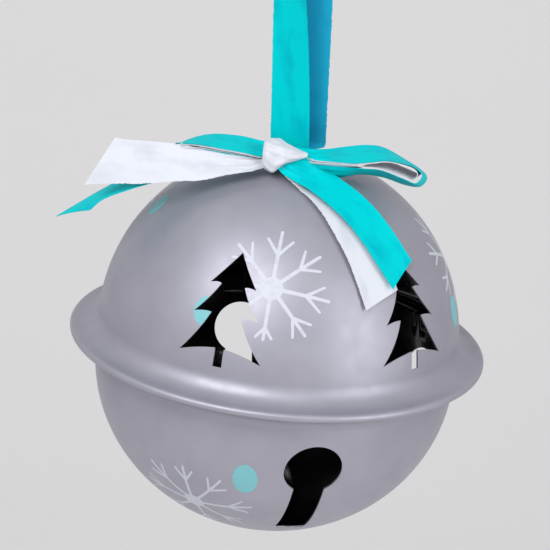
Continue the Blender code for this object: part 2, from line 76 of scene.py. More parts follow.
TREE_AZIMUTHS = [-17.0, 47.3, 163.0, 227.3]
TREE_LATITUDE = 23.0
KEYHOLES = [(15.7, -14.6), (118.7, -11.3), (194.0, -11.8), (272.7, -11.5)]   # azimuth and latitude
KEYHOLE_RADIUS = 6.75 * MM
SLOT_WIDTH = 7.2 * MM
SLOT_END = -50.5


# ---------------------------------------------------------------- scene helpers
def add_mesh(name, mesh, matrix=BELL):
    obj = bpy.data.objects.new(name, mesh)
    obj.matrix_world = matrix
    bpy.context.scene.collection.objects.link(obj)
    return obj


def evaluated(obj):
    """A plain copy of the mesh that obj's modifiers make."""
    bpy.context.view_layer.update()
    return bpy.data.meshes.new_from_object(obj.evaluated_get(bpy.context.evaluated_depsgraph_get()))


def bake(obj):
    mesh = evaluated(obj)
    obj.modifiers.clear()
    obj.data = mesh
    return obj


def boolean(obj, operation, other, own=False):
    modifier = obj.modifiers.new("cut", "BOOLEAN")
    modifier.operation = operation
    modifier.solver = "EXACT"
    modifier.object = other
    modifier.use_self = own


def finish(obj, material_list, body, slot, *nodes):
    for index, material in enumerate(material_list):
        if index < len(obj.data.materials):
            obj.data.materials[index] = material
        else:
            obj.data.materials.append(material)
    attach(obj, body)
    if nodes:
        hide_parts(*nodes)
    return obj


# ---------------------------------------------------------------- materials
def new_material(name, colour, roughness, metallic=0.0, **inputs):
    material = bpy.data.materials.new(name)
    material.use_nodes = True
    shader = material.node_tree.nodes["Principled BSDF"]
    shader.inputs["Base Color"].default_value = (*colour, 1.0)
    shader.inputs["Roughness"].default_value = roughness
    shader.inputs["Metallic"].default_value = metallic
    for key, value in inputs.items():
        shader.inputs[key.replace("_", " ")].default_value = value
    return material, material.node_tree, shader


def node(tree, kind, settings=None, **inputs):
    """A shader node; inputs that are sockets are linked, others are set."""
    made = tree.nodes.new(kind)
    for key, value in (settings or {}).items():
        setattr(made, key, value)
    for key, value in inputs.items():
        socket = made.inputs[key.replace("_", " ")]
        if isinstance(value, bpy.types.NodeSocket):
            tree.links.new(value, socket)
        else:
            socket.default_value = value
    return made


def place(tree):
    return tree.nodes.new("ShaderNodeTexCoord").outputs["Object"]


def ramp(tree, value, low, high, start, end):
    """Colours or greys that go from low to high as value goes from start to end."""
    made = node(tree, "ShaderNodeValToRGB", Fac=value)
    first, last = made.color_ramp.elements
    first.position, last.position = start, end
    first.color = (*low, 1.0) if hasattr(low, "__len__") else (low, low, low, 1.0)
    last.color = (*high, 1.0) if hasattr(high, "__len__") else (high, high, high, 1.0)
    return made.outputs["Color"]


def bump(tree, shader, height, strength, distance, under=None):
    made = node(tree, "ShaderNodeBump", Height=height, Strength=strength, Distance=distance)
    if under:
        tree.links.new(under, made.inputs["Normal"])
    tree.links.new(made.outputs["Normal"], shader.inputs["Normal"])
    return made.outputs["Normal"]


def noise(tree, scale, detail=3.0, vector=None):
    made = node(tree, "ShaderNodeTexNoise", Vector=vector or place(tree), Scale=scale, Detail=detail)
    return made.outputs["Fac"]


def paint_material():
    """Lavender-grey metallic satin paint with a little orange peel, and soft dents in the tin under it."""
    material, tree, shader = new_material("lavender_paint", (0.33, 0.325, 0.38), 0.48, 0.5)
    tone = ramp(tree, noise(tree, 90.0, 2.0), (0.315, 0.31, 0.365), (0.345, 0.34, 0.395), 0.3, 0.7)
    tree.links.new(tone, shader.inputs["Base Color"])
    tree.links.new(ramp(tree, noise(tree, 260.0), 0.43, 0.52, 0.3, 0.7), shader.inputs["Roughness"])
    dents = bump(tree, shader, noise(tree, 55.0, 1.0), 0.35, 0.4 * MM)
    bump(tree, shader, noise(tree, 1700.0, 2.0), 0.12, 0.05 * MM, dents)
    return material


# Near-black glossy colour for the inner faces of the shells.
def black_material():
    material, tree, shader = new_material("near_black_inside", (0.009, 0.007, 0.012), 0.16, 0.0, Coat_Weight=0.5)
    tree.links.new(ramp(tree, noise(tree, 300.0), 0.12, 0.24, 0.3, 0.7), shader.inputs["Roughness"])
    bump(tree, shader, noise(tree, 900.0), 0.08, 0.05 * MM)
    return material


def edge_material():
    """Cut edges of the tin, where the paint is thin; their lighter colour is also a painted highlight standing in for
    the light the edges catch.
    """
    material, tree, shader = new_material("cut_edge_and_highlight", (0.42, 0.42, 0.46), 0.35, 0.9)
    tone = ramp(tree, noise(tree, 1500.0), (0.30, 0.30, 0.34), (0.55, 0.55, 0.60), 0.35, 0.65)
    tree.links.new(tone, shader.inputs["Base Color"])
    return material


def ink_material(name, colour, thin):
    material, tree, shader = new_material(name, colour, 0.5)
    tone = ramp(tree, noise(tree, 700.0, 4.0), thin, colour, 0.30, 0.48)
    tree.links.new(tone, shader.inputs["Base Color"])
    bump(tree, shader, noise(tree, 2500.0, 2.0), 0.15, 0.03 * MM)
    return material


def wire_material():
    material, tree, shader = new_material("drawn_wire", (0.60, 0.60, 0.62), 0.28, 1.0)
    tree.links.new(ramp(tree, noise(tree, 1200.0), 0.20, 0.40, 0.3, 0.7), shader.inputs["Roughness"])
    return material


def ball_material():
    material, tree, shader = new_material("ball_steel", (0.30, 0.30, 0.32), 0.35, 1.0)
    tree.links.new(ramp(tree, noise(tree, 500.0, 5.0), 0.25, 0.50, 0.3, 0.7), shader.inputs["Roughness"])
    bump(tree, shader, noise(tree, 700.0, 4.0), 0.2, 0.05 * MM)
    return material


THREAD = 0.30 * MM                   # pitch of the ribbon's cross threads


def satin_material(name, colour, deep, sheen):
    """Woven satin: cross threads along the strip, fine warp lines, and a slow change of colour, partly random tone and
    partly painted sheen in streaks along the strip.
    """
    material, tree, shader = new_material(name, colour, 0.5, Sheen_Weight=sheen, Sheen_Roughness=0.4)
    shader.inputs["Specular IOR Level"].default_value = 0.03
    uv = node(tree, "ShaderNodeUVMap", {"uv_map": "strip"}).outputs["UV"]
    along = node(tree, "ShaderNodeMapping", Vector=uv, Scale=(260.0, 60.0, 1.0)).outputs["Vector"]
    tone_and_sheen_streaks = noise(tree, 1.0, 2.0, along)
    cloud = noise(tree, 1.0, 3.0, node(tree, "ShaderNodeMapping", Vector=uv, Scale=(150.0, 150.0, 1.0)).outputs["Vector"])
    mixed = node(tree, "ShaderNodeMath", {"operation": "ADD"})
    tree.links.new(tone_and_sheen_streaks, mixed.inputs[0])
    tree.links.new(cloud, mixed.inputs[1])
    # painted sheen: darker and lighter streaks of colour along the strip, mixed with random tone; the darker end is the
    # deep colour
    tree.links.new(ramp(tree, mixed.outputs[0], deep, colour, 0.7, 1.25), shader.inputs["Base Color"])
    weft = node(tree, "ShaderNodeTexWave", {"wave_type": "BANDS", "bands_direction": "Y"},
                Vector=uv, Scale=math.pi / (10.0 * THREAD), Distortion=1.5, Detail=2.0, Detail_Scale=2.0).outputs["Fac"]
    warp = node(tree, "ShaderNodeTexWave", {"wave_type": "BANDS", "bands_direction": "X"},
                Vector=uv, Scale=math.pi / (10.0 * THREAD * 0.7), Distortion=1.0, Detail=1.0).outputs["Fac"]
    rough = bump(tree, shader, weft, 0.25, 0.05 * MM)
    bump(tree, shader, warp, 0.12, 0.04 * MM, rough)
    tree.links.new(ramp(tree, tone_and_sheen_streaks, 0.42, 0.58, 0.3, 0.7), shader.inputs["Roughness"])
    return material


PAINT = paint_material()
BLACK = black_material()
CUT_EDGE_AND_HIGHLIGHT = edge_material()
WHITE_INK = ink_material("white_ink", (0.49, 0.51, 0.57), (0.44, 0.46, 0.52))
TEAL_INK = ink_material("teal_ink", (0.16, 0.44, 0.48), (0.18, 0.40, 0.45))
TEAL = satin_material("teal_satin", (0.0, 0.51, 0.54), (0.0, 0.40, 0.47), 0.0)
# Reverse face of the hanging loop: bluer than the front, partly the satin's reverse side and partly painted shade for
# the back leg's inner face.
TEAL_REVERSE_AND_SHADE = satin_material("teal_reverse_and_shade", (0.02, 0.46, 0.68), (0.015, 0.40, 0.62), 0.0)
WHITE = satin_material("white_satin", (0.58, 0.60, 0.65), (0.50, 0.52, 0.58), 0.15)


# ---------------------------------------------------------------- camera
def look(target, azimuth, elevation, roll, distance, lens):
    a, e, r = (math.radians(v) for v in (azimuth, elevation, roll))
    back = Vector((math.cos(e) * math.sin(a), -math.cos(e) * math.cos(a), math.sin(e)))
    right = Vector((math.cos(a), math.sin(a), 0.0))
    up = back.cross(right)
    right, up = right * math.cos(r) + up * math.sin(r), up * math.cos(r) - right * math.sin(r)
    data = bpy.data.cameras.new("camera")
    data.lens = lens
    camera = bpy.data.objects.new("camera", data)
    bpy.context.scene.collection.objects.link(camera)
    matrix = Matrix((right, up, back)).transposed().to_4x4()
    matrix.translation = BELL @ (Vector(target) + back * distance)
    camera.matrix_world = matrix
    data.clip_start, data.clip_end = 0.01, 50.0
    bpy.context.scene.camera = camera


look((-2.16 * MM, 0.0, 15.49 * MM), 0.277, 19.026, 6.156, 473.23 * MM, 129.5)


# ---------------------------------------------------------------- turned shells
def arc(centre, radius, start, end, count):
    points = []
    for i in range(count + 1):
        angle = math.radians(start + (end - start) * i / count)
        points.append((centre[0] + radius * math.cos(angle), centre[1] + radius * math.sin(angle)))
    return points


def dome_point(latitude, inset=0.0):
    angle = math.radians(latitude)
    return (BODY_RADIUS - inset) * math.cos(angle), DOME_CENTRE + (DOME_RISE - inset) * math.sin(angle)


def bowl_point(latitude, inset=0.0):
    angle = math.radians(latitude)
    return (BODY_RADIUS - inset) * math.cos(angle), -BOWL_WALL + (BOWL_DROP - inset) * math.sin(angle)


def dome_side(inset):
    top = math.degrees(math.acos(TOP_HOLE / (BODY_RADIUS - inset)))
    foot = math.degrees(math.asin((EDGE + FILLET - DOME_CENTRE) / (DOME_RISE - inset)))
    return [dome_point(top + (foot - top) * i / 44, inset) for i in range(45)]


def upper_runs():
    """Runs of the profile with their material: the outside, the rolled lip, the inside and the top hole."""
    roll = (RIM_RADIUS - EDGE, 0.0)
    outer, inner = dome_side(0.0), dome_side(SHEET)
    foot = (outer[-1][0] + FILLET, EDGE + FILLET)
    outside = outer + arc(foot, FILLET, 180, 270, 12)[1:] + arc(roll, EDGE, 90, -90, 16)
    lip = roll[0] - 2 * SHEET
    edge = [outside[-1], (lip, -EDGE), (lip, -EDGE + SHEET), (roll[0], -EDGE + SHEET)]
    inside = arc(roll, EDGE - SHEET, -90, 90, 10) + arc(foot, FILLET + SHEET, 270, 180, 12)[:-1] + inner[::-1]
    return [(outside, 0), (edge[:2], 0), (edge[1:3], 2), (edge[2:], 1), (inside, 1), ([inside[-1], outside[0]], 2)]


def lower_runs():
    flange = RIM_RADIUS - EDGE
    inner = [bowl_point(-90 + 90 * i / 44, SHEET) for i in range(45)] + [(BODY_RADIUS - SHEET, SHEET / 2)]
    outer = [(BODY_RADIUS, -SHEET / 2)] + [bowl_point(-90 * i / 44) for i in range(45)]
    inner[0] = (0.0, inner[0][1])
    outer[-1] = (0.0, outer[-1][1])
    return [(inner, 1), ([inner[-1], (flange, SHEET / 2)], 1), ([(flange, SHEET / 2), (flange, -SHEET / 2)], 0),
            ([(flange, -SHEET / 2), outer[0]], 0), (outer, 0)]


def turned(name, runs):
    """Turns the runs about Z. Returns the object and its profile segments: ends, end normals and material."""
    mesh = bpy.data.meshes.new(name)
    work = bmesh.new()
    rings, segments = [], []
    for points, material in runs:
        normals = []
        for i in range(len(points)):
            before, after = points[max(i - 1, 0)], points[min(i + 1, len(points) - 1)]
            across = Vector((before[1] - after[1], after[0] - before[0])).normalized()
            normals.append(across)
        for i in range(len(points) - 1):
            segments.append((points[i], points[i + 1], normals[i], normals[i + 1], material))
    for start, _, _, _, _ in segments + [segments[-1][1:2] * 2 + (0, 0, 0)]:
        rings.append(start)
    closed = math.dist(rings[0], rings[-1]) < 0.01 * MM
    if closed:
        rings.pop()
    made = []
    for r, z in rings:
        if r < 0.001 * MM:
            made.append([work.verts.new((0.0, 0.0, z))] * TURNS)
        else:
            angles = (2 * math.pi * k / TURNS for k in range(TURNS))
            made.append([work.verts.new((r * math.cos(a), r * math.sin(a), z)) for a in angles])
    for i, segment in enumerate(segments):
        here, there = made[i], made[(i + 1) % len(made)]
        for k in range(TURNS):
            after = (k + 1) % TURNS
            corners = list(dict.fromkeys((here[k], there[k], there[after], here[after])))
            work.faces.new(corners).material_index = segment[4]
    work.to_mesh(mesh)
    work.free()
    for _ in range(3):
        mesh.materials.append(None)
    return add_mesh(name, mesh), segments


def turned_normals(obj, segments):
    """Sets each corner's normal from the profile, so that the cut-outs leave the shell's shine alone."""
    mesh = obj.data
    starts = np.array([s[0] for s in segments])
    spans = np.array([s[1] for s in segments]) - starts
    normals_a = np.array([s[2] for s in segments])
    normals_b = np.array([s[3] for s in segments])
    kinds = np.array([s[4] for s in segments])
    lengths = np.maximum((spans ** 2).sum(1), 1e-14)

    def nearest(point, allowed):
        share = np.clip(((point - starts) * spans).sum(1) / lengths, 0.0, 1.0)
        gap = ((point - starts - spans * share[:, None]) ** 2).sum(1)
        best = int(np.argmin(np.where(allowed, gap, 1.0)))
        return best, share[best]

    anywhere = np.ones(len(segments), bool)
    corner_normals = [Vector()] * len(mesh.loops)
    cache = {}
    for face in mesh.polygons:
        centre = face.center
        flat = np.array((math.hypot(centre.x, centre.y), centre.z))
        kind = kinds[nearest(flat, anywhere)[0]]
        wall = face.material_index == 2 or abs(face.normal.dot(outward(centre, segments, nearest, anywhere))) < 0.5
        for loop in face.loop_indices:
            index = mesh.loops[loop].vertex_index
            if wall:
                corner_normals[loop] = face.normal.copy()
                continue
            key = (index, int(kind))
            if key not in cache:
                spot = mesh.vertices[index].co
                reach = math.hypot(spot.x, spot.y)
                best, share = nearest(np.array((reach, spot.z)), kinds == kind)
                normal = normals_a[best] * (1 - share) + normals_b[best] * share
                turn = (spot.x / reach, spot.y / reach) if reach > 1e-7 else (0.0, 0.0)
                cache[key] = Vector((normal[0] * turn[0], normal[0] * turn[1], normal[1])).normalized()
            corner_normals[loop] = cache[key]
    mesh.shade_smooth()
    mesh.normals_split_custom_set(corner_normals)


def outward(centre, segments, nearest, anywhere):
    best, _ = nearest(np.array((math.hypot(centre.x, centre.y), centre.z)), anywhere)
    normal = segments[best][2] + segments[best][3]
    reach = max(math.hypot(centre.x, centre.y), 1e-7)
    return Vector((normal[0] * centre.x / reach, normal[0] * centre.y / reach, normal[1])).normalized()


# ---------------------------------------------------------------- cut-outs
def slope(latitude, rise):
    """Angle of the shell's outward normal above the level, in degrees."""
    angle = math.radians(latitude)
    return math.degrees(math.atan2(math.sin(angle) / rise, math.cos(angle) / BODY_RADIUS))


def shell_frame(azimuth, latitude):
    """X along the shell, Y up it and Z out of it; latitudes below 0 are on the bowl."""
    point, rise = (dome_point(latitude), DOME_RISE) if latitude > 0 else (bowl_point(latitude), BOWL_DROP)
    turn = Matrix.Rotation(math.radians(azimuth), 4, "Z")
    stand = Matrix.Rotation(math.radians(90 - slope(latitude, rise)), 4, "X")
    return turn @ Matrix.Translation((0.0, -point[0], point[1])) @ stand


def curve_to(start, bend, end, count=6):
    """Points after start on a curve with one control point."""
    points = []
    for i in range(1, count + 1):
        t = i / count
        points.append(tuple(a * (1 - t) ** 2 + 2 * b * t * (1 - t) + c * t * t for a, b, c in zip(start, bend, end)))
    return points


def tree_outline():
    """Half of the fir tree, then its mirror: each tier's slope, its point, and the round notch above the next."""
    half = [(0.0, 13.8)]
    tiers = [((2.5, 9.7), (5.4, 6.0), (3.6, 6.5), (2.75, 6.1)),
             ((4.4, 2.5), (7.7, -1.0), (5.2, -0.3), (3.5, -0.55)),
             ((5.6, -5.6), (9.6, -9.95), (5.0, -8.5), (1.1, -8.1))]
    for bend, point, under, notch in tiers:
        half += curve_to(half[-1], bend, point)
        half += curve_to(point, under, notch)
    half += [(1.0, -8.8), (1.05, -12.2)]
    return [(x * MM, y * MM) for x, y in half + [(-x, y) for x, y in half[:0:-1]]]


def prism(outline, low, high, matrix, work):
    """A closed prism on an outline in the matrix's XY plane."""
    floor = [work.verts.new(matrix @ Vector((x, y, low))) for x, y in outline]
    roof = [work.verts.new(matrix @ Vector((x, y, high))) for x, y in outline]
    count = len(outline)
    work.faces.new(floor[::-1])
    work.faces.new(roof)
    for i in range(count):
        work.faces.new((floor[i], floor[(i + 1) % count], roof[(i + 1) % count], roof[i]))


def from_work(name, work, material=None):
    bmesh.ops.recalc_face_normals(work, faces=work.faces)
    if material is not None:
        for face in work.faces:
            face.material_index = material
    mesh = bpy.data.meshes.new(name)
    work.to_mesh(mesh)
    work.free()
    for _ in range(3):
        mesh.materials.append(None)
    return add_mesh(name, mesh)


def tree_cutter():
    work = bmesh.new()
    for azimuth in TREE_AZIMUTHS:
        prism(tree_outline(), -6 * MM, 6 * MM, shell_frame(azimuth, TREE_LATITUDE), work)
    return from_work("tree_cutter", work, 2)


def circle(radius, count):
    return [(radius * math.cos(2 * math.pi * k / count), radius * math.sin(2 * math.pi * k / count))
            for k in range(count)]


def hole_cutter():
    work = bmesh.new()
    for azimuth, latitude in KEYHOLES:
        prism(circle(KEYHOLE_RADIUS, 72), -6 * MM, 6 * MM, shell_frame(azimuth, latitude), work)
    return from_work("hole_cutter", work, 2)


def slot_cutter():
    """Each slot's side view in a meridian plane, thickened to the slot's width."""
    work = bmesh.new()
    for azimuth, top in KEYHOLES:
        span = [top + (SLOT_END - top) * i / 16 for i in range(17)]
        side = [bowl_point(latitude, -3 * MM) for latitude in span]
        side += [bowl_point(latitude, 3 * MM) for latitude in reversed(span)]
        stand = Matrix.Rotation(math.radians(azimuth - 90), 4, "Z") @ Matrix.Rotation(math.radians(90), 4, "X")
        prism(side, -SLOT_WIDTH / 2, SLOT_WIDTH / 2, stand, work)
    return from_work("slot_cutter", work, 2)


def cut_shell(obj, segments, *cutters):
    for cutter in cutters:
        boolean(obj, "DIFFERENCE", cutter)
    bake(obj)
    turned_normals(obj, segments)


tree_tool, hole_tool, slot_tool = tree_cutter(), hole_cutter(), slot_cutter()
upper, upper_segments = turned("upper_tin", upper_runs())
cut_shell(upper, upper_segments, tree_tool)
finish(upper, [PAINT, BLACK, CUT_EDGE_AND_HIGHLIGHT], "bell", "painted_tin", "upper_shell")
lower, lower_segments = turned("lower_tin", lower_runs())
cut_shell(lower, lower_segments, hole_tool, slot_tool)
finish(lower, [PAINT, BLACK, CUT_EDGE_AND_HIGHLIGHT], "bell", "painted_tin", "lower_shell")


# ---------------------------------------------------------------- printed flakes and dots
INK_TOP = 0.03 * MM
INK_FOOT = -0.02 * MM
CELL = 1.3 * MM                      # prints are cut this fine to follow the shell


def stroke(start, end, width_a, width_b):
    """A brush stroke with round ends that may taper."""
    along = Vector(end) - Vector(start)
    angle = math.degrees(math.atan2(along.y, along.x))
    return arc(start, width_a / 2, angle + 90, angle + 270, 6) + arc(end, width_b / 2, angle - 90, angle + 90, 6)


def flake_strokes(hub, arms, width):
    """Eight arms round a hub: (angle, length, fork, prong angle, prong length) each, in millimetres and degrees."""
    strokes = []
    for angle, length, fork, spread, prong in arms:
        a = math.radians(angle)
        direction = Vector((math.cos(a), math.sin(a)))
        strokes.append(stroke(direction * (hub - 0.6) * MM, direction * length * MM, width * MM, 0.75 * width * MM))
        for side in (-1, 1):
            b = math.radians(angle + side * spread)
            start = direction * fork * MM
            end = start + Vector((math.cos(b), math.sin(b))) * prong * MM
            strokes.append(stroke(start, end, 0.85 * width * MM, 0.6 * width * MM))
    return strokes


def on_shell(frame_matrix, bowl, x, y, lift):
    """The point of the shell over a flat print's x, y, raised along the shell's normal."""
    centre = -BOWL_WALL if bowl else DOME_CENTRE
    rise = BOWL_DROP if bowl else DOME_RISE
    spot = frame_matrix @ Vector((x, y, -(x * x + y * y) / (2 * BODY_RADIUS)))
    spot.z -= centre
    spot /= math.sqrt((spot.x ** 2 + spot.y ** 2) / BODY_RADIUS ** 2 + spot.z ** 2 / rise ** 2)
    normal = Vector((spot.x / BODY_RADIUS ** 2, spot.y / BODY_RADIUS ** 2, spot.z / rise ** 2)).normalized()
    spot += normal * lift
    spot.z += centre
    return spot


def printed(name, outlines, azimuth, latitude, turn, material, *cutters):
    """Closed films of ink in the shapes of the outlines, joined where they cross and laid on the shell."""
    flat = Matrix.Identity(4)
    first, rest = bmesh.new(), bmesh.new()
    prism(outlines[0], -MM, MM, flat, first)
    for outline in outlines[1:]:
        prism(outline, -MM, MM, flat, rest)
    obj = from_work(name, first)
    if len(outlines) > 1:
        others = from_work(name + "_strokes", rest)
        boolean(obj, "UNION", others, own=True)
        bake(obj)
        bpy.data.objects.remove(others)
    work = bmesh.new()
    work.from_mesh(obj.data)
    bmesh.ops.triangulate(work, faces=work.faces)
    reach = max(max(abs(v.co.x), abs(v.co.y)) for v in work.verts)
    steps = int(reach / CELL) + 1
    for axis in (Vector((1, 0, 0)), Vector((0, 1, 0))):
        for i in range(-steps, steps + 1):
            everything = work.verts[:] + work.edges[:] + work.faces[:]
            bmesh.ops.bisect_plane(work, geom=everything, plane_co=axis * CELL * i, plane_no=axis)
    frame_matrix = shell_frame(azimuth, latitude) @ Matrix.Rotation(math.radians(turn), 4, "Z")
    for vertex in work.verts:
        lift = INK_TOP if vertex.co.z > 0 else INK_FOOT
        vertex.co = on_shell(frame_matrix, latitude < 0, vertex.co.x, vertex.co.y, lift)
    work.to_mesh(obj.data)
    work.free()
    for cutter in cutters:
        boolean(obj, "DIFFERENCE", cutter)
    if cutters:
        bake(obj)
    obj.data.shade_smooth()
    obj.data.set_sharp_from_angle(angle=math.radians(40))
    return finish(obj, [material], "bell", "painted_tin")


def hub_outline(radius):
    return circle(radius * MM, 40)


def dot_outline(wide, tall):
    return [(x * wide / 2, y * tall / 2) for x, y in circle(1.0 * MM, 40)]


UPPER_ARMS = [(88, 13.4, 7.8, 38, 4.6), (43, 13.0, 7.7, 40, 4.4), (-4, 12.8, 7.7, 38, 4.6), (-47, 12.6, 8.0, 36, 4.2),
              (-92, 11.3, 8.8, 40, 2.8), (-137, 12.5, 7.9, 38, 4.0), (178, 12.5, 7.8, 38, 4.2), (133, 12.8, 7.8, 38, 4.4)]
LOWER_ARMS = [(92, 12.6, 8.2, 34, 4.0), (50, 13.6, 8.4, 36, 4.4), (4, 14.2, 8.8, 32, 4.6), (-42, 12.5, 8.0, 34, 4.0),
              (-88, 12.0, 8.0, 34, 3.6), (-135, 12.6, 8.0, 34, 4.0), (178, 13.0, 8.4, 34, 4.4), (136, 13.6, 8.4, 36, 4.4)]


def flake(name, azimuth, latitude, turn, arms, hub, width, *cutters):
    outlines = [hub_outline(hub)] + flake_strokes(hub, arms, width)
    return printed(name, outlines, azimuth, latitude, turn, WHITE_INK, *cutters)


def dot(name, azimuth, latitude, turn, wide, tall, *cutters):
    return printed(name, [dot_outline(wide, tall)], azimuth, latitude, turn, TEAL_INK, *cutters)


flake("flake_upper_1", -3.7, 32.0, 0.0, UPPER_ARMS, 2.6, 0.95, tree_tool)
flake("flake_upper_2", 92.0, 31.0, 20.0, UPPER_ARMS, 2.6, 0.95)
flake("flake_upper_3", 195.0, 33.0, -15.0, UPPER_ARMS, 2.6, 0.95)
flake("flake_upper_4", -110.0, 34.0, 35.0, UPPER_ARMS, 2.6, 0.95, tree_tool)
flake("flake_lower_1", -26.0, -38.0, 0.0, LOWER_ARMS, 2.5, 0.75, hole_tool, slot_tool)
flake("flake_lower_2", 96.0, -36.0, 25.0, LOWER_ARMS, 2.5, 0.75, hole_tool, slot_tool)
flake("flake_lower_3", 156.0, -38.0, -20.0, LOWER_ARMS, 2.5, 0.75, hole_tool, slot_tool)
flake("flake_lower_4", -120.0, -36.0, 10.0, LOWER_ARMS, 2.5, 0.75, hole_tool, slot_tool)
dot("dot_upper_1", -24.0, 22.0, 0.0, 5.8, 6.6, tree_tool)
dot("dot_upper_2", -78.0, 43.5, 0.0, 5.2, 6.4)
dot("dot_upper_3", 78.0, 17.0, 0.0, 5.8, 7.6)
dot("dot_upper_4", 136.0, 40.0, 0.0, 6.0, 7.0)
dot("dot_upper_5", -158.0, 14.0, 0.0, 5.8, 7.0)
dot("dot_lower_1", -5.3, -20.0, 0.0, 5.8, 8.9)
dot("dot_lower_2", 140.0, -20.0, 0.0, 5.8, 8.0)
dot("dot_lower_3", 172.0, -20.0, 0.0, 5.8, 8.4)
dot("dot_lower_4", -113.0, -15.0, 0.0, 5.8, 8.0)

for tool in (tree_tool, hole_tool, slot_tool):
    bpy.data.objects.remove(tool)


# ---------------------------------------------------------------- ball and wire eye
def build_ball():
    """A pressed steel ball: two halves with a fine seam, and small dents from rattling."""
    work = bmesh.new()
    bmesh.ops.create_uvsphere(work, u_segments=72, v_segments=48, radius=BALL_RADIUS)
    for vertex in work.verts:
        height = vertex.co.z / BALL_RADIUS
        vertex.co *= 1.0 - 0.012 * math.exp(-(height / 0.035) ** 2)
    mesh = bpy.data.meshes.new("loose_ball")
    work.to_mesh(mesh)
    work.free()
    mesh.shade_smooth()
    tilt = Matrix.Rotation(math.radians(35), 4, "X")
    ball = add_mesh("loose_ball", mesh, BELL @ Matrix.Translation((0.0, 0.0, BALL_HEIGHT)) @ tilt)
    finish(ball, [ball_material()], "ball", "ball_steel", "jingle_ball")


def build_eye():
    """The wire hairpin: feet splayed under the dome, legs through its hole, a round top."""
    under = DOME_TOP - SHEET - CLEAR - WIRE
    turn = DOME_TOP + 1.6 * MM
    right = [(7.0 * MM, under - 0.87 * MM), (4.5 * MM, under - 0.62 * MM), (2.85 * MM, under - 0.4 * MM),
             (2.28 * MM, under + 0.15 * MM), (2.2 * MM, under + 1.0 * MM)]
    top = [(x * 2.2 * MM, turn + z * 2.1 * MM) for x, z in arc((0.0, 0.0), 1.0, 0, 180, 12)]
    path = right + top + [(-x, z) for x, z in reversed(right)]
    curve = bpy.data.curves.new("wire_eye", "CURVE")
    curve.dimensions = "3D"
    curve.bevel_depth = WIRE
    curve.bevel_resolution = 5
    curve.resolution_u = 6
    curve.use_fill_caps = True
    spline = curve.splines.new("NURBS")
    spline.points.add(len(path) - 1)
    for point, (x, z) in zip(spline.points, path):
        point.co = (x, 0.0, z, 1.0)
    spline.order_u = 3
    spline.use_endpoint_u = True
    eye = add_mesh("wire_eye", curve, BELL @ Matrix.Rotation(math.radians(FOOT_TWIST), 4, "Z"))
    finish(eye, [wire_material()], "eye", "steel_wire", "hanger_eye")


# ---------------------------------------------------------------- ribbons
RIBBON = 10.0 * MM                   # flat width of every ribbon
CLOTH = 0.12 * MM
WEAVE_STEP = 0.35 * MM               # stations along a ribbon
ACROSS = 16                          # faces across a ribbon
LOOP_HEIGHT = 80.0 * MM
LEG_GAP = 9.0 * MM
LOOP_LEAN = 0.071
FOLD_TWIST = -90.0
TWIST_POWER = 1.9


def smooth_rows(rows, closed=False):
    """A Catmull-Rom curve through rows of numbers, at an even step along its first three."""
    count = len(rows)
    fine = []
    for i in range(count if closed else count - 1):
        if closed:
            quad = [rows[(i + k) % count] for k in (-1, 0, 1, 2)]
        else:
            quad = [rows[min(max(i + k, 0), count - 1)] for k in (-1, 0, 1, 2)]
        a, b, c, d = (np.array(row, float) for row in quad)
        for step in range(24):
            t = step / 24
            fine.append(0.5 * (2 * b + (c - a) * t + (2 * a - 5 * b + 4 * c - d) * t * t
                               + (3 * b - a - 3 * c + d) * t ** 3))
    fine.append(np.array(rows[0 if closed else -1], float))
    fine = np.array(fine)
    travel = np.concatenate(([0.0], np.cumsum(np.linalg.norm(np.diff(fine[:, :3], axis=0), axis=1))))
    steps = int(travel[-1] / WEAVE_STEP)
    spots = np.linspace(0.0, travel[-1], steps + 1)
    even = np.stack([np.interp(spots, travel, column) for column in fine.T], axis=1)
    return even, travel[-1]


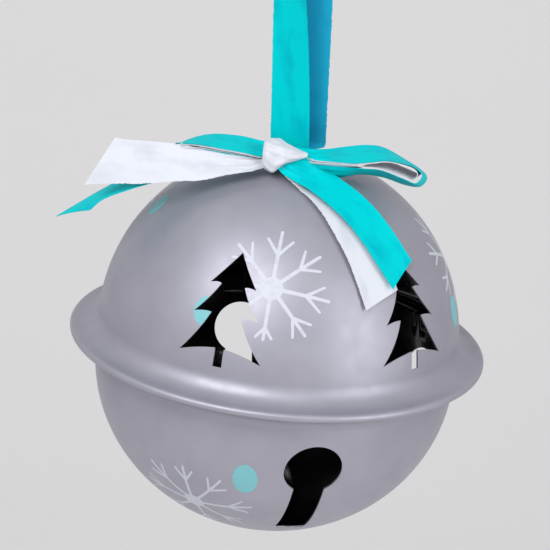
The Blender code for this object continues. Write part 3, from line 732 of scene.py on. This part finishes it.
def strip(name, rows, materials, waves, seed, closed=False, nick=0.05 * MM):
    """A ribbon through rows of centre, half width vector, fold depth and curl: a thin closed sheet.

    Folds are waves across the ribbon where it is gathered.  The selvedges are slightly nicked."""
    even, length = smooth_rows(rows, closed)
    count = len(even) - 1 if closed else len(even)
    centres, halves = even[:, :3], even[:, 3:6]
    rng = np.random.default_rng(seed)
    nicks = rng.normal(0.0, 1.0, (len(even), 2)) * nick
    mesh = bpy.data.meshes.new(name)
    work = bmesh.new()
    layer = work.loops.layers.uv.new("strip")
    rings = []
    for i in range(count):
        before = centres[i - 1] if closed or i else centres[i]
        after = centres[(i + 1) % count] if closed or i + 1 < count else centres[i]
        normal = np.cross(after - before, halves[i])
        normal /= np.linalg.norm(normal)
        size = np.linalg.norm(halves[i])
        ring = []
        for k in range(ACROSS + 1):
            u = 2.0 * k / ACROSS - 1.0
            edge = nicks[i][0 if u < 0 else 1] if abs(u) > 0.99 else 0.0
            lift = even[i][6] * math.cos(math.pi * waves * u + seed) + even[i][7] * (1.0 - u * u)
            ring.append(work.verts.new(centres[i] + halves[i] * (u * (1.0 + edge / size)) + normal * lift))
        rings.append(ring)
    for i in range(count if closed else count - 1):
        here, there = rings[i], rings[(i + 1) % count]
        for k in range(ACROSS):
            face = work.faces.new((here[k], here[k + 1], there[k + 1], there[k]))
            marks = ((k, i), (k + 1, i), (k + 1, i + 1), (k, i + 1))
            for loop, (across, along) in zip(face.loops, marks):
                loop[layer].uv = (RIBBON * across / ACROSS, length * along / count)
    work.to_mesh(mesh)
    work.free()
    one_side = len(mesh.polygons)
    obj = add_mesh(name, mesh)
    solid = obj.modifiers.new("cloth", "SOLIDIFY")
    solid.thickness = CLOTH
    solid.offset = 0.0
    bake(obj)
    for material in materials:
        obj.data.materials.append(material)
    # The second layer takes the second material; on the hanging loop that is the reverse face, whose bluer colour is
    # partly painted shade.
    for face in obj.data.polygons[one_side:2 * one_side]:
        face.material_index = 1
    obj.data.shade_smooth()
    obj.data.set_sharp_from_angle(angle=math.radians(50))
    return obj, length


def from_dome_top(rows):
    """Rows in millimetres from the dome's top, as metres from the rim plane."""
    return [[v * MM for v in (x, y, z)] + [hx * MM, hy * MM, hz * MM, fold * MM, curl * MM]
            for x, y, z, hx, hy, hz, fold, curl in rows]


def raise_to_top(rows):
    for row in rows:
        row[2] += DOME_TOP
    return rows


# Rows of the bow, in millimetres from the dome's top: centre, half width, depth of the folds, curl.
TEAL_ROWS = [
    # left tail, from its slanted end to the knot
    (-50.5, -9.5, -17.4, -4.5, 4.5, -2.7, 0.0, 0.3), (-44.3, -9.5, -12.3, -1.2, 4.7, -0.6, 0.0, 0.3),
    (-38.6, -9.5, -8.8, -0.8, 4.8, 0.1, 0.0, 0.3), (-33.0, -9.8, -5.6, -0.5, 4.6, 1.0, 0.0, 0.2),
    (-26.5, -10.0, -3.2, 0.0, 4.2, 1.6, 0.0, 0.1), (-20.0, -10.0, -1.6, 0.0, 3.5, 1.6, 0.1, 0.0),
    (-14.0, -10.0, -0.2, 0.0, 2.6, 1.0, 0.3, 0.0), (-9.5, -10.2, 0.8, 0.0, 1.8, 0.5, 0.45, 0.0),
    (-3.0, -10.5, 1.2, 0.0, 1.2, 0.2, 0.5, 0.0),
    # right loop: below, round its end and back above
    (1.5, -11.2, 1.0, 0.0, 1.4, -0.7, 0.5, 0.0), (4.8, -11.5, 0.4, 0.1, 2.0, -1.2, 0.35, 0.0),
    (10.4, -11.5, 0.1, 0.0, 2.7, -1.9, 0.1, -0.5), (15.2, -9.7, 0.3, -0.3, 4.4, -1.95, 0.0, -0.3),
    (19.9, -9.5, 0.2, 0.5, 4.5, -2.05, 0.0, 0.0), (25.0, -9.5, -1.1, 0.4, 4.5, -1.95, 0.0, 0.0),
    (28.3, -9.5, -1.5, 0.85, 4.5, -1.6, 0.0, 0.0), (29.6, -9.5, 0.6, 0.9, 4.5, -1.4, 0.0, 0.0),
    (28.1, -9.5, 2.2, 0.5, 4.5, -1.1, 0.0, 0.0), (25.2, -9.5, 3.6, -0.3, 4.5, -0.6, 0.0, 0.0),
    (20.4, -9.5, 4.9, -0.3, 4.6, 0.2, 0.0, 0.0), (16.5, -9.5, 4.7, -0.1, 4.6, 0.75, 0.0, 0.0),
    (12.5, -9.6, 4.0, -0.6, 4.6, 0.7, 0.0, 0.0), (7.6, -9.6, 3.3, -0.6, 4.2, 0.2, 0.1, 0.0),
    (3.4, -10.0, 3.1, -0.3, 2.9, 0.2, 0.3, 0.0), (-1.0, -10.2, 3.6, 0.0, 1.6, 0.0, 0.45, 0.0),
    (-5.0, -10.2, 3.8, 0.0, 1.8, 0.3, 0.4, 0.0),
    # left loop: above, round its end and back below
    (-8.2, -9.0, 3.0, -0.2, 3.4, 0.75, 0.15, 0.0), (-12.2, -8.5, 3.3, -0.3, 4.2, 0.75, 0.0, 0.0),
    (-17.3, -8.5, 3.5, -0.6, 4.3, 0.55, 0.0, 0.0), (-22.4, -8.5, 3.35, 0.3, 4.4, -0.05, 0.0, 0.0),
    (-26.0, -8.5, 2.45, 0.1, 4.4, -0.8, 0.0, 0.0), (-27.8, -8.5, 1.65, 0.0, 4.4, -1.5, 0.0, 0.0),
    (-26.6, -8.5, 0.95, 0.0, 4.4, -1.2, 0.0, 0.0), (-22.3, -8.5, 2.2, 0.0, 4.3, -0.2, 0.0, 0.0),
    (-17.0, -8.6, 2.3, 0.0, 4.2, 0.3, 0.0, 0.0), (-12.0, -8.9, 1.9, 0.0, 3.4, 0.4, 0.15, 0.0),
    (-8.5, -9.6, 1.6, 0.0, 2.2, 0.3, 0.4, 0.0),
    # out of the knot's front to the right tail
    (-4.0, -12.5, 1.8, 0.8, 1.2, 0.6, 0.45, 0.0), (-1.1, -14.2, 1.5, 2.4, 0.7, 1.8, 0.3, 0.0),
    (2.4, -14.6, -0.1, 2.9, 1.9, 1.5, 0.15, 0.0), (6.3, -15.4, -1.6, 2.8, 3.6, 1.0, 0.05, 0.0),
]

WHITE_ROWS = [
    # left tail, from its slanted end to the knot
    (-44.6, -13.7, -2.8, 2.95, 1.75, 5.5, 0.0, 0.2), (-40.3, -13.7, -2.4, 0.3, 1.7, 4.85, 0.0, 0.2),
    (-34.8, -13.8, -2.0, 0.0, 1.8, 4.6, 0.0, 0.2), (-27.0, -14.6, -1.0, 0.0, 1.9, 3.9, 0.0, 0.1),
    (-20.6, -14.3, -0.8, 0.0, 1.7, 3.15, 0.12, 0.0), (-15.0, -14.1, -0.1, 0.0, 1.7, 2.0, 0.25, 0.0),
    (-10.0, -13.6, 0.3, 0.0, 1.6, 1.2, 0.35, 0.0), (-7.6, -12.8, 0.7, 0.0, 1.5, 0.8, 0.4, 0.0),
    (-3.0, -12.0, 1.6, 0.0, 1.2, 0.5, 0.45, 0.0),
    # right loop, inside the teal one
    (1.5, -11.4, 1.6, 0.0, 1.5, -0.6, 0.4, 0.0), (4.8, -11.9, 1.3, 0.1, 2.3, -1.2, 0.2, 0.0),
    (10.4, -11.8, 1.0, 0.0, 3.0, -1.9, 0.05, -0.2), (15.2, -9.9, 1.5, -0.3, 4.6, -1.3, 0.0, 0.0),
    (19.8, -9.8, 2.4, 0.4, 4.6, -0.2, 0.0, 0.0), (24.5, -9.8, 1.3, 0.3, 4.6, -0.2, 0.0, 0.0),
    (27.3, -9.8, 0.45, 0.7, 4.6, -0.35, 0.0, 0.0), (28.4, -9.8, 1.1, 0.8, 4.6, -0.9, 0.0, 0.0),
    (27.5, -9.8, 2.15, 0.4, 4.6, -1.05, 0.0, 0.0), (24.9, -9.8, 3.4, -0.3, 4.6, -0.55, 0.0, 0.0),
    (20.3, -9.8, 4.65, -0.3, 4.6, 0.2, 0.0, 0.0), (16.5, -9.8, 4.4, -0.1, 4.6, 0.75, 0.0, 0.0),
    (12.6, -9.8, 3.7, -0.6, 4.6, 0.65, 0.0, 0.0), (7.7, -9.9, 2.85, -0.6, 4.2, 0.0, 0.1, 0.0),
    (3.5, -10.5, 2.5, -0.3, 2.6, -0.05, 0.25, 0.0), (-1.0, -10.4, 3.1, 0.0, 1.5, 0.0, 0.4, 0.0),
    (-5.0, -10.2, 2.95, 0.0, 1.6, 0.3, 0.25, 0.0),
    # left loop, inside the teal one
    (-8.2, -9.3, 2.45, -0.2, 3.2, 0.7, 0.08, 0.0), (-12.2, -8.8, 3.05, -0.3, 4.3, 0.75, 0.0, 0.0),
    (-17.3, -8.8, 3.25, -0.6, 4.4, 0.55, 0.0, 0.0), (-22.3, -8.8, 3.1, 0.3, 4.5, -0.05, 0.0, 0.0),
    (-25.3, -8.8, 2.35, 0.1, 4.5, -0.75, 0.0, 0.0), (-26.7, -8.8, 1.7, 0.0, 4.5, -1.35, 0.0, 0.0),
    (-25.6, -8.8, 1.3, 0.0, 4.5, -1.05, 0.0, 0.0), (-22.0, -8.8, 2.45, 0.0, 4.4, -0.2, 0.0, 0.0),
    (-17.0, -8.6, 2.6, 0.0, 4.3, 0.3, 0.0, 0.0), (-12.0, -8.9, 2.2, 0.0, 3.5, 0.4, 0.15, 0.0),
    (-8.5, -9.6, 1.95, 0.0, 2.2, 0.3, 0.35, 0.0),
    # out of the knot's front to the right tail, under the teal one
    (-4.0, -12.6, 1.2, 0.6, 1.0, 0.5, 0.4, 0.0), (-1.3, -14.0, 0.3, 1.6, 1.0, 0.9, 0.3, 0.0),
]

# The right tails lie on the dome: azimuth, latitude and half width in millimetres.
TEAL_TAIL = [(33.9, 60.3, 4.95), (38.7, 53.3, 5.0), (41.7, 46.1, 5.0), (43.7, 40.2, 5.0), (46.0, 34.9, 5.0)]
WHITE_TAIL = [(10.5, 69.3, 3.2), (22.5, 65.5, 4.7), (28.4, 58.0, 5.0), (31.0, 49.5, 5.0), (33.2, 41.0, 5.0),
              (35.3, 28.9, 5.0)]


def tail_rows(rows, lift, curl, slant):
    """Rows of a tail on the dome, its width along the shell; slant tips the cut end."""
    centres, normals = [], []
    for azimuth, latitude, _ in rows:
        radius, height = dome_point(latitude, -lift)
        turn = Matrix.Rotation(math.radians(azimuth), 3, "Z")
        angle = math.radians(slope(latitude, DOME_RISE))
        centres.append(turn @ Vector((0.0, -radius, height)))
        normals.append(turn @ Vector((0.0, -math.cos(angle), math.sin(angle))))
    made = []
    for i, (_, _, half) in enumerate(rows):
        along = centres[min(i + 1, len(rows) - 1)] - centres[max(i - 1, 0)]
        across = normals[i].cross(along).normalized() * half * MM
        if i == len(rows) - 1:
            across -= along.normalized() * slant
        made.append([*centres[i], *across, 0.0, -curl])
    return made


def loop_row(reach, height, half, fold):
    top = DOME_TOP + LOOP_HEIGHT - LEG_GAP / 2
    rise = min(max((height - PIVOT) / (top - PIVOT), 0.0), 1.0)
    turn = Matrix.Rotation(math.radians(FOOT_TWIST + (FOLD_TWIST - FOOT_TWIST) * rise ** TWIST_POWER), 3, "Z")
    middle = Vector((-LOOP_LEAN * (height - PIVOT), 0.0, height))
    return [*(middle + turn @ Vector((0.0, reach, 0.0))), *(turn @ Vector((half, 0.0, 0.0))), fold, 0.1 * MM]


def hanging_rows():
    half, leg = RIBBON / 2, LEG_GAP / 2
    top = DOME_TOP + LOOP_HEIGHT - leg + 0.35 * MM
    foot = [(0.22, 0.0, 1.1 * MM, 0.35 * MM), (0.50, -0.15 * MM, 0.46 * half, 0.3 * MM),
            (0.80, 0.2 * MM, 0.82 * half, 0.12 * MM), (0.96, 0.6 * MM, 0.98 * half, 0.0), (1.0, 2.3 * MM, half, 0.0)]
    legs = [(leg * share, PIVOT + lift, width, fold) for share, lift, width, fold in foot]
    start = legs[-1][1]
    legs += [(leg, start + (top - start) * i / 10, half, 0.0) for i in range(1, 11)]
    legs += [(y, z, half, 0.0) for y, z in arc((0.0, top), leg, 22.5, 90, 3)]
    rows = [loop_row(0.0, PIVOT, 1.1 * MM, 0.35 * MM)]
    rows += [loop_row(-y, z, w, f) for y, z, w, f in legs]
    rows += [loop_row(y, z, w, f) for y, z, w, f in reversed(legs[:-1])]
    return rows


def build_ribbons():
    teal = raise_to_top(from_dome_top(TEAL_ROWS)) + tail_rows(TEAL_TAIL, 1.4 * MM, 0.25 * MM, 1.2 * MM)
    white = raise_to_top(from_dome_top(WHITE_ROWS)) + tail_rows(WHITE_TAIL, 0.6 * MM, 0.25 * MM, 1.2 * MM)
    loop, loop_length = strip("ribbon_loop", hanging_rows(), [TEAL, TEAL_REVERSE_AND_SHADE], 2.5, 1, closed=True)
    finish(loop, [TEAL, TEAL_REVERSE_AND_SHADE], "ribbon", "teal_satin", "hanging_ribbon")
    bow_teal, teal_length = strip("bow_teal", teal, [TEAL, TEAL], 2.5, 2)
    finish(bow_teal, [TEAL, TEAL], "eye", "teal_satin", "bow_ribbon_teal")
    bow_white, white_length = strip("bow_white", white, [WHITE, WHITE], 2.5, 3)
    finish(bow_white, [WHITE, WHITE], "eye", "white_satin", "bow_ribbon_white")


# Sections of the knot, in millimetres from the dome's top: x, middle y and z, half depth and half height.
KNOT_ROWS = [(-7.7, -11.1, 2.8, 3.3, 2.3), (-7.3, -11.2, 2.7, 4.0, 3.0), (-6.3, -11.2, 2.4, 4.3, 3.35),
             (-5.2, -11.3, 2.2, 4.4, 3.55), (-4.2, -11.4, 2.6, 4.2, 3.1), (-2.6, -11.9, 3.1, 3.6, 1.95),
             (0.0, -12.9, 3.5, 2.2, 0.95), (2.3, -14.0, 3.95, 0.6, 0.3)]
KNOT_SIDES = 72


def build_knot():
    """The white wrap: a tight creased barrel on the left that runs out to a folded point on the right."""
    rows, _ = smooth_rows([[v * MM for v in row] for row in KNOT_ROWS])
    work = bmesh.new()
    layer = work.loops.layers.uv.new("strip")
    rings = []
    for i, (x, y, z, depth, height) in enumerate(rows):
        ring = []
        for k in range(KNOT_SIDES):
            angle = 2 * math.pi * k / KNOT_SIDES
            share = i / (len(rows) - 1)
            crease = 1.0 + 0.05 * math.sin(5 * angle + 7 * share) * math.sin(math.pi * share) \
                + 0.025 * math.sin(11 * angle - 12 * share)
            across = math.copysign(abs(math.cos(angle)) ** 0.7, math.cos(angle)) * depth * crease
            up = math.copysign(abs(math.sin(angle)) ** 0.7, math.sin(angle)) * height * crease
            ring.append(work.verts.new((x, y + across, DOME_TOP + z + up)))
        rings.append(ring)
    for i, (here, there) in enumerate(zip(rings, rings[1:])):
        for k in range(KNOT_SIDES):
            after = (k + 1) % KNOT_SIDES
            face = work.faces.new((here[k], here[after], there[after], there[k]))
            marks = ((k, i), (k + 1, i), (k + 1, i + 1), (k, i + 1))
            for loop, (around, along) in zip(face.loops, marks):
                loop[layer].uv = (along * WEAVE_STEP, 26 * MM * around / KNOT_SIDES)
    mesh = bpy.data.meshes.new("knot_wrap")
    work.to_mesh(mesh)
    work.free()
    knot = add_mesh("knot_wrap", mesh)
    solid = knot.modifiers.new("cloth", "SOLIDIFY")
    solid.thickness = 2 * CLOTH
    solid.offset = 0.0
    bake(knot)
    knot.data.shade_smooth()
    knot.data.set_sharp_from_angle(angle=math.radians(60))
    finish(knot, [WHITE], "eye", "white_satin", "bow_knot")


build_ball()
build_eye()
build_ribbons()
build_knot()


# ---------------------------------------------------------------- light and background
def area_light(name, location, target, size, energy, colour=(1.0, 1.0, 1.0)):
    data = bpy.data.lights.new(name, "AREA")
    data.shape = "RECTANGLE"
    data.size, data.size_y = size
    data.energy = energy
    data.color = colour
    light = bpy.data.objects.new(name, data)
    bpy.context.scene.collection.objects.link(light)
    light.location = BELL @ Vector(location)
    light.rotation_mode = "QUATERNION"
    light.rotation_quaternion = (Vector(target) - Vector(location)).to_track_quat("-Z", "Y")


def studio():
    scene = bpy.context.scene
    scene.view_settings.view_transform = "Standard"
    world = bpy.data.worlds.new("studio")
    scene.world = world
    world.use_nodes = True
    background = world.node_tree.nodes["Background"]
    background.inputs["Color"].default_value = (0.80, 0.80, 0.82, 1.0)
    background.inputs["Strength"].default_value = 0.70
    area_light("key", (-0.5, -0.8, 0.8), (0.0, 0.0, 0.0), (0.85, 0.85), 13.0)
    area_light("fill", (0.8, -0.6, 0.25), (0.0, 0.0, 0.0), (0.45, 1.0), 5.5)
    work = bmesh.new()
    sweep = [(-2.0, -0.6), (0.9, -0.6)] + [
        (0.9 + 0.6 * math.sin(math.radians(a)), -0.6 * math.cos(math.radians(a))) for a in range(15, 91, 15)]
    sweep = [(y, z) for y, z in sweep] + [(1.5, 2.5)]
    rows = [[work.verts.new((x, y, z)) for x in (-3.0, 3.0)] for y, z in sweep]
    for here, there in zip(rows, rows[1:]):
        work.faces.new((here[0], here[1], there[1], there[0]))
    mesh = bpy.data.meshes.new("sweep")
    work.to_mesh(mesh)
    work.free()
    floor = add_mesh("studio_sweep", mesh)
    mesh.shade_smooth()
    material, tree, shader = new_material("pale_paper", (0.82, 0.81, 0.81), 0.9)
    bump(tree, shader, noise(tree, 40.0), 0.05, 0.5 * MM)
    mesh.materials.append(material)


studio()
